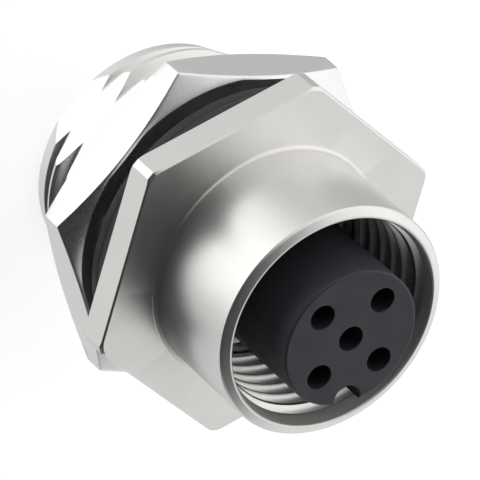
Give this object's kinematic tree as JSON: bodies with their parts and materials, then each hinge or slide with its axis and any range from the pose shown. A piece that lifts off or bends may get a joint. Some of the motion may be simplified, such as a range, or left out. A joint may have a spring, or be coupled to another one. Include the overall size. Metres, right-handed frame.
{
  "type": "m12 panel-mount female circular connector",
  "caption": "Panel-mounted circular connector: threaded sleeve with a coded socket insert, hexagonal flange, rubber gasket and lock nut on a threaded barrel.",
  "frame": {"origin": "centre of the ring at the rear end of the threaded barrel, on which the connector stands", "axes": "+Z along the connector's axis towards the mating face; two corners of the hexagonal flange lie on X, and the coding groove lies between +X and -Y"},
  "size_m": [0.021, 0.0212, 0.0212],
  "materials": {
    "satin_nickel": "nickel plated, satin turned",
    "bright_nickel": "nickel plated, polished",
    "gasket_rubber": "moulded, matte",
    "insert_plastic": "moulded, fine matte",
    "seal_rubber": "moulded, matte",
    "retainer_plastic": "moulded, fine matte",
    "ring_nickel": "nickel plated, turned",
    "contact_gold": "gold plated, turned"
  },
  "bodies": {
    "connector": {"housing": "satin_nickel", "panel_gasket": "gasket_rubber", "contact_insert": "insert_plastic", "insert_seal": "seal_rubber", "contact_retainer": "retainer_plastic", "retaining_ring": "ring_nickel", "contact_1": "contact_gold", "contact_2": "contact_gold", "contact_3": "contact_gold", "contact_4": "contact_gold", "contact_5": "contact_gold"},
    "nut": {"lock_nut": "bright_nickel"}
  },
  "joints": [
    {"name": "nut_travel", "type": "slide", "parent": "connector", "child": "nut", "axis": [0, 0, 1], "range_m": [-0.00423, 0.0008]}
  ]
}
